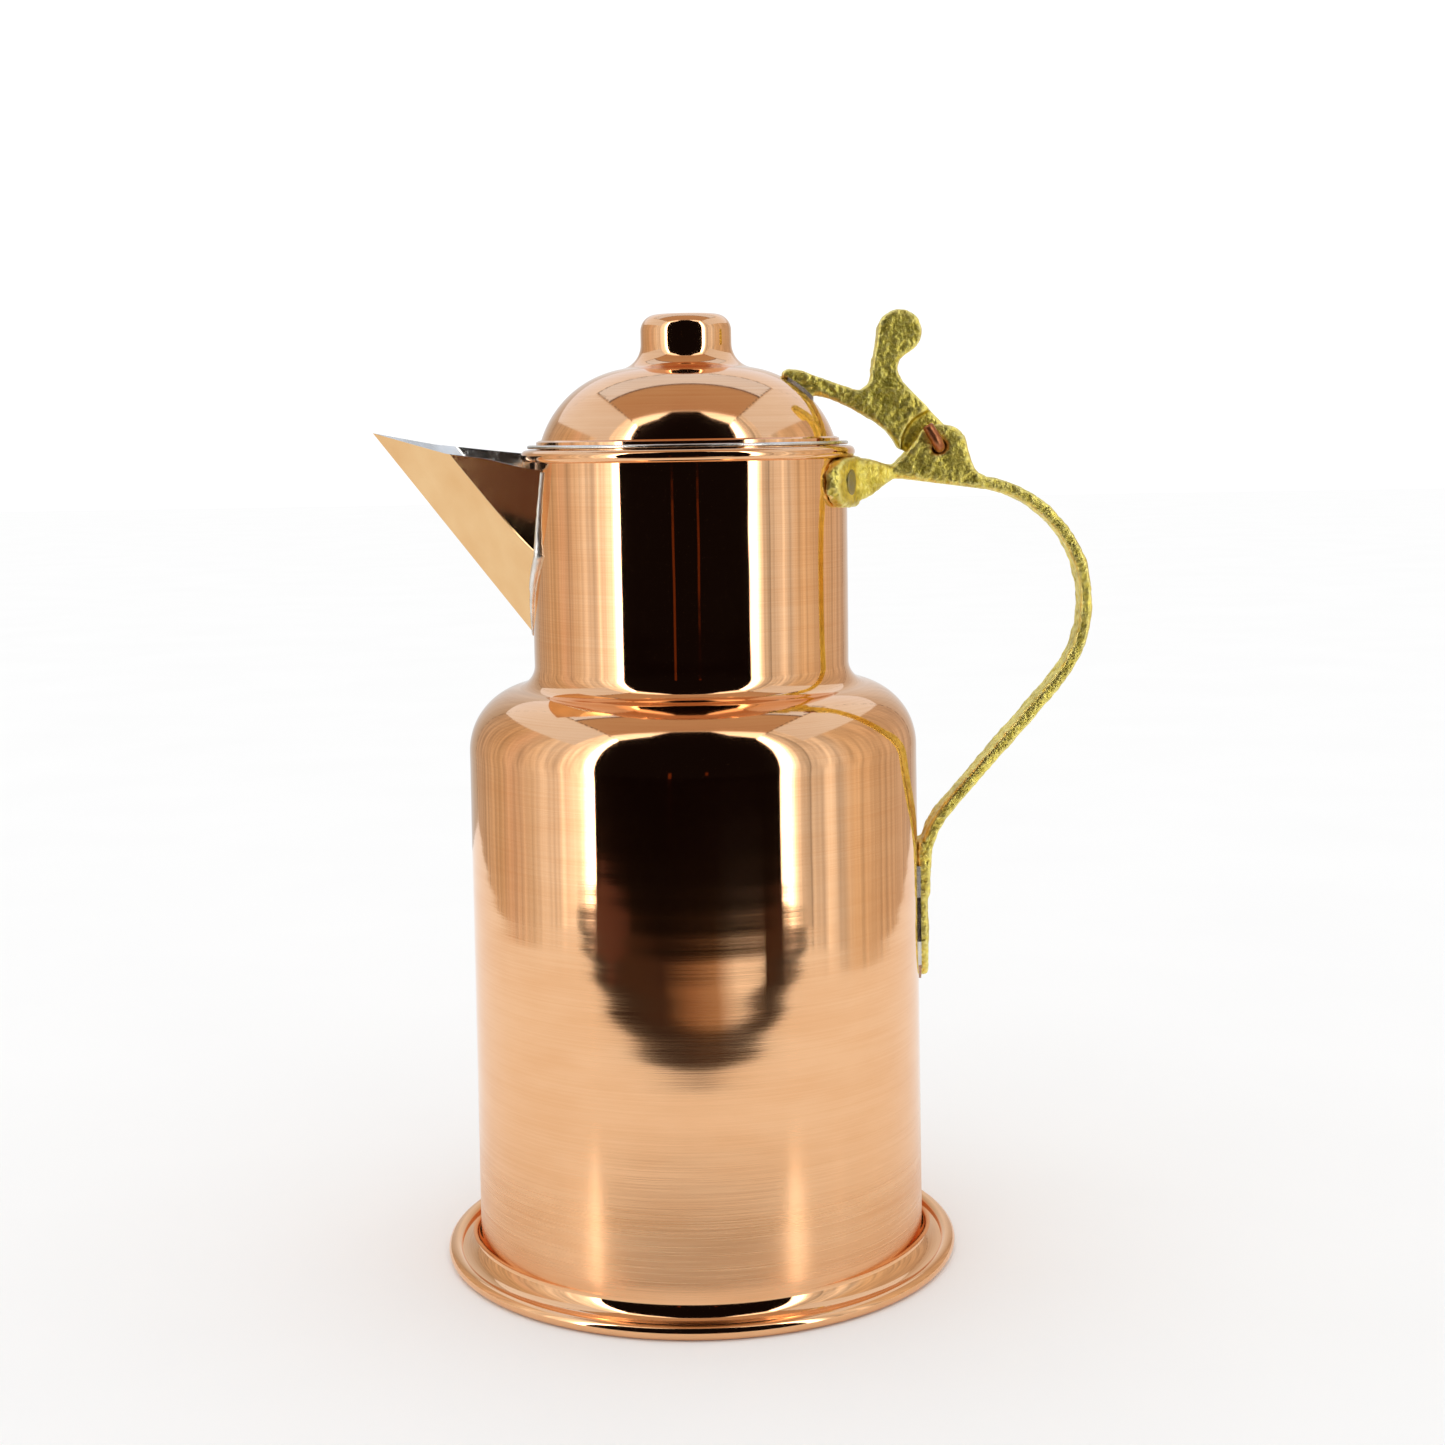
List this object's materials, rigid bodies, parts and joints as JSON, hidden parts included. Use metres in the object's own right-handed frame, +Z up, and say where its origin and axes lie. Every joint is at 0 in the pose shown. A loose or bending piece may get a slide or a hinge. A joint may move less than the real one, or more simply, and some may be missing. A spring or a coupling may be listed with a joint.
{
  "type": "coffee pot",
  "caption": "Spun copper coffee pot with a stepped neck, folded beak spout, cast brass strap handle and hinged domed lid with hollow knob and thumb lever.",
  "frame": {"origin": "on the pot's axis, at the middle of the flat underside", "axes": "+Z up along the pot's axis, +X towards the handle, the spout points along -X, +Y along the hinge pin"},
  "size_m": [0.1765, 0.1296, 0.2353],
  "materials": {
    "copper": "polished copper",
    "cast_brass": "sand cast, tumbled",
    "tin": "wiped tin",
    "copper_wire": "drawn copper wire",
    "steel_wire": "drawn wire"
  },
  "bodies": {
    "pot": {"body_shell": "copper", "base_pan": "copper", "foot_wire": "steel_wire", "rim_wire": "steel_wire", "base_solder": "tin", "spout_beak": "copper", "spout_solder": "tin", "handle_casting": "cast_brass", "upper_rivets": "steel_wire", "tail_solder": "tin", "hinge_pin": "copper_wire"},
    "lid": {"lid_shell": "copper", "lid_collar": "copper", "collar_solder": "tin", "lid_lever": "cast_brass", "lever_solder": "tin"}
  },
  "joints": [
    {"name": "lid_hinge", "type": "hinge", "parent": "pot", "child": "lid", "pos_m": [0.0614, 0, 0.2019], "axis": [0, 1, 0], "range_deg": [0, 115]}
  ]
}
